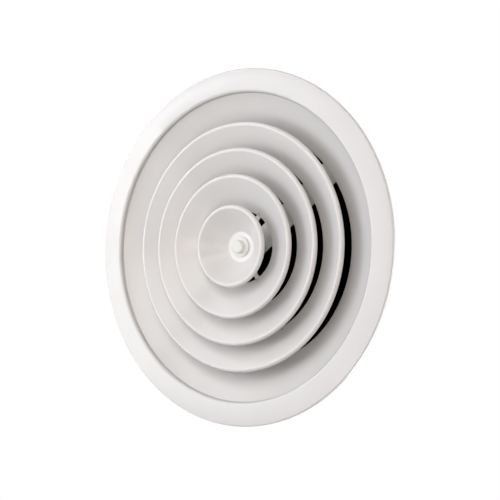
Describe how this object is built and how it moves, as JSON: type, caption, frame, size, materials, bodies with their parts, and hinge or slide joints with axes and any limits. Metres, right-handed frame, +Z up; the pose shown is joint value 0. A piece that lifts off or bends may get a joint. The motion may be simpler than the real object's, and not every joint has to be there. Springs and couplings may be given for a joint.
{
  "type": "round ceiling air diffuser",
  "caption": "Round ceiling air diffuser: white flanged cone with neck, and a core of concentric louvre cones raised by a central screw under a snap cap.",
  "frame": {"origin": "on the axis in the ceiling plane, at the back of the flange and its gasket", "axes": "+Z points up into the duct along the axis, the louvre face looks down, +X runs along the bridge bar"},
  "size_m": [0.45, 0.45, 0.1105],
  "materials": {
    "white_coating": "white powder coating, satin gloss",
    "zinc_sheet": "galvanised steel sheet",
    "aluminium_rivet": "bright aluminium",
    "zinc_steel": "zinc-plated steel",
    "foam": "closed-cell foam",
    "white_plastic": "white moulded plastic"
  },
  "bodies": {
    "frame": {"outer_cone": "white_coating", "neck_collar": "zinc_sheet", "collar_rivets": "aluminium_rivet", "ceiling_gasket": "foam", "bridge_bar": "zinc_sheet", "bridge_rivets": "aluminium_rivet", "bridge_nut": "zinc_steel"},
    "core": {"louvre_ring_outer": "white_coating", "louvre_ring_middle": "white_coating", "louvre_ring_inner": "white_coating", "centre_cone": "white_coating", "hub_plate": "white_coating", "core_strap_1": "white_coating", "core_strap_2": "white_coating", "core_strap_3": "white_coating", "hub_rivets": "aluminium_rivet", "ring_rivets": "aluminium_rivet", "core_bush": "white_plastic", "bush_ring": "zinc_steel"},
    "screw": {"adjusting_screw": "zinc_steel", "screw_washer": "zinc_steel", "screw_clip": "zinc_steel"},
    "cap": {"centre_cap": "white_plastic"}
  },
  "joints": [
    {"name": "core_lift", "type": "slide", "parent": "frame", "child": "core", "axis": [0, 0, 1], "range_m": [0, 0.012]},
    {"name": "screw_turn", "type": "hinge", "parent": "core", "child": "screw", "pos_m": [0, 0, 0.015], "axis": [0, 0, 1], "range_deg": [0, 4320]},
    {"name": "cap_pull", "type": "slide", "parent": "core", "child": "cap", "axis": [0, 0, -1], "range_m": [0, 0.06]}
  ],
  "couplings": [
    {"joint": "screw_turn", "follows": "core_lift", "rad_per_m": 6283.2}
  ]
}
